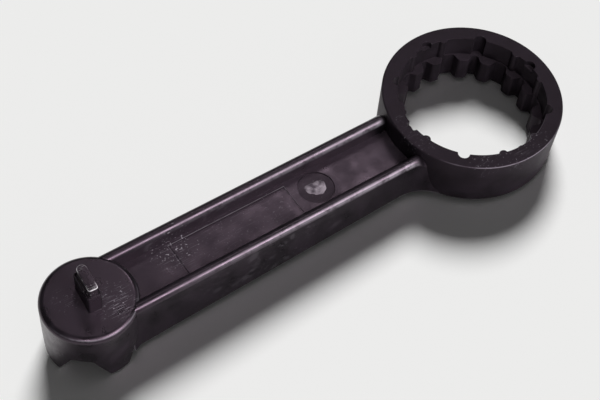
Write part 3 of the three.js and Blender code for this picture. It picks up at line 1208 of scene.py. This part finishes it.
@dataclass
class SteppedKey:
    """The two-step key on top of the bung head."""

    turn: float = -4.0
    base: Pair = (7.0, 16.0)
    base_corners: Pair = (1.0, 1.0)
    tip: Pair = (5.0, 15.0)
    tip_corners: Pair = (2.49, 1.2)  # at the far and the near end
    tip_height: float = 5.5
    corner_steps: int = 8
    rounding: float = 0.5
    sink: float = 0.5

    def __post_init__(self) -> None:
        """Takes the key's place from the solids."""
        low, high = node_span("key_base")
        self.foot = Vector(((low.x + high.x) / 2, (low.y + high.y) / 2, low.z))
        self.shoulder = high.z
        self.rise = self.shoulder + self.tip_height

    def step(self, size: Pair, corners: Pair, bottom: float, top: float) -> BMesh:
        """Raises one step of the key.

        Args:
            size: Along the handle and across it.
            corners: Rounding of the upright corners at the far and at the near end.
            bottom: Height where it starts.
            top: Height where it ends.

        Returns:
            The closed shape about the tool's origin.
        """
        x, y = size[0] / 2, size[1] / 2
        far, near = corners
        steps = self.corner_steps
        pen = Pen((x, near - y, bottom))
        pen.line((x, y - far, bottom)).arc((x - far, y - far, bottom), 90, steps)
        pen.line((far - x, y, bottom)).arc((far - x, y - far, bottom), 90, steps)
        pen.line((-x, near - y, bottom)).arc((near - x, near - y, bottom), 90, steps)
        pen.line((x - near, -y, bottom)).arc((x - near, near - y, bottom), 90, steps)
        return raised(pen, top - bottom)

    def build(self) -> tuple[Object, ...]:
        """Models the key.

        Returns:
            The finished piece.
        """
        base = self.step(self.base, self.base_corners, self.foot.z - self.sink, self.shoulder)
        tip = self.step(self.tip, self.tip_corners, self.shoulder - self.sink, self.rise)
        key = combined(base, tip, Cut.JOIN)
        matrix = Matrix.Rotation(math.radians(self.turn), 3, "Z")
        bmesh.ops.rotate(key, cent=(0, 0, 0), matrix=matrix, verts=key.verts[:])
        bmesh.ops.translate(key, vec=(self.foot.x, self.foot.y, 0), verts=key.verts[:])
        soften(key, self.rounding)
        piece = finished(key, "stepped_key_moulding")
        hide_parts("key_base", "key_tip")
        return (piece,)

    def dress(self, piece: Object) -> None:
        """Gives the key its plastic, rubbed pale at the ends of the tip.

        Args:
            piece: The finished key.
        """
        half = self.tip[1] / 2
        near, far = (Vector((self.foot.x, self.foot.y + y, self.rise)) for y in (-half, half))
        rub_and_highlight_zones = tuple(Rub(end, radius=4.5, amount=1.0) for end in (near, far))
        scuffs = tuple(
            Scuff(end, radius=5.0, run=run, streaks=0.3, specks=0.6)
            for end, run in ((near, 70), (far, 20))
        )
        finish = MouldedPlastic("key_black_polyamide", scuffs, rub_and_highlight_zones, rubbed="#e4dfe4")
        piece.data.materials.append(finish.material())


@dataclass(frozen=True)
class SoftLamp:
    """A broad lamp that stands far off."""

    name: str
    towards: tuple[float, float, float]  # from the tool to the lamp
    breadth: float  # degrees across, seen from the tool
    strength: float
    lit: Lit = Lit.TOOL
    shadow: bool = True

    def hang(self) -> None:
        """Puts the lamp up, flagged off everything that it doesn't light."""
        lamp = bpy.data.lights.new(self.name, "SUN")
        lamp.angle = math.radians(self.breadth)
        lamp.energy = self.strength
        lamp.use_shadow = self.shadow
        holder = placed(self.name, lamp)
        holder.location = self.towards
        holder.rotation_euler = Vector(self.towards).to_track_quat("Z", "Y").to_euler()
        holder.light_linking.receiver_collection = bpy.data.collections[self.lit.value]


@dataclass
class Studio:
    """Floor, lamps and camera."""

    floor_colour: str = "#fcfcfb"
    floor_size: float = 60.0  # metres
    floor_tilt: float = 2.48  # degrees, so that the level tool rests on a lug and on the ring
    floor_height: float = 4.4  # under the middle of the tool
    room: float = 0.08  # light from all round
    lamps: tuple[SoftLamp, ...] = (
        SoftLamp("back_lamp", (0.42, 0.55, 0.72), breadth=22.0, strength=3.5, lit=Lit.FLOOR),
        SoftLamp("key_lamp", (0.33, -0.65, 0.68), breadth=24.0, strength=3.1),
        SoftLamp("front_lamp", (0.0, -0.74, 0.67), breadth=18.0, strength=0.8),
        SoftLamp("side_lamp", (-0.42, -0.58, 0.7), breadth=18.0, strength=0.8),
        SoftLamp("window", (0.3, -0.66, 0.68), breadth=60.0, strength=0.3),
        SoftLamp("sheen_lamp", (0.4, 0.44, 0.8), breadth=14.0, strength=0.29, shadow=False),
    )
    place: tuple[float, float, float] = (-248.75, -288.9, 558.3)
    azimuth: float = -39.962
    elevation: float = 54.817
    roll: float = 6.894
    lens: float = 78.72
    sensor: float = 36.0
    clip_start: float = 0.01  # metres

    def build(self, pieces: Sequence[Object]) -> None:
        """Sets the scene up round the tool.

        Args:
            pieces: The pieces of the tool.
        """
        lit = {Lit.TOOL: pieces, Lit.FLOOR: (self.lay_floor(),)}
        for choice, objects in lit.items():
            group = bpy.data.collections.new(choice.value)
            for item in objects:
                group.objects.link(item)
        self.light()
        self.aim_camera()
        bpy.context.scene.view_settings.view_transform = "Standard"

    def lay_floor(self) -> Object:
        """Lays a plain pale floor.

        Returns:
            The floor.
        """
        mesh = bmesh.new()
        bmesh.ops.create_grid(mesh, x_segments=1, y_segments=1, size=self.floor_size / 2)
        floor = standing(mesh, "floor")
        floor.rotation_euler = Euler((0, math.radians(-self.floor_tilt), 0))
        floor.location.z = self.floor_height * MM
        paper = bpy.data.materials.new("matt_white_paper")
        tree = bare_tree(paper)
        matt = add_node(tree, "BsdfDiffuse", {"Color": linear(self.floor_colour)})
        add_node(tree, "OutputMaterial", {"Surface": matt})
        floor.data.materials.append(paper)
        return floor

    def light(self) -> None:
        """Lights the tool and the floor softly."""
        world = bpy.data.worlds.new("room")
        bpy.context.scene.world = world
        tree = bare_tree(world)
        room = add_node(tree, "Background", {"Color": (1, 1, 1, 1), "Strength": self.room})
        add_node(tree, "OutputWorld", {"Surface": room})
        for lamp in self.lamps:
            lamp.hang()

    def aim_camera(self) -> None:
        """Stands the camera where the photograph was taken from."""
        data = bpy.data.cameras.new("camera")
        data.sensor_width = self.sensor
        data.lens = self.lens
        data.clip_start = self.clip_start
        camera = placed("camera", data)
        camera.location = Vector(self.place) * MM
        turn, lift = math.radians(self.azimuth), math.radians(self.elevation)
        level = math.cos(lift)
        back = Vector((math.sin(turn) * level, -math.cos(turn) * level, math.sin(lift)))
        upright = back.to_track_quat("Z", "Y").to_matrix()
        rolled = upright @ Matrix.Rotation(math.radians(self.roll), 3, "Z")
        camera.rotation_euler = rolled.to_euler()
        bpy.context.scene.camera = camera


def main() -> None:
    """Builds the tool's pieces in order and sets the scene round them."""
    logging.basicConfig(level=logging.INFO, format="%(name)s: %(message)s")
    pieces = []
    for assembly in (RingSocket(), Handle(), BungHead(), SteppedKey()):
        made = assembly.build()
        assembly.dress(*made)
        for piece in made:
            LOG.info("%s: %d faces", piece.name, len(piece.data.polygons))
        pieces.extend(made)
    Studio().build(pieces)


if __name__ == "__main__":
    main()
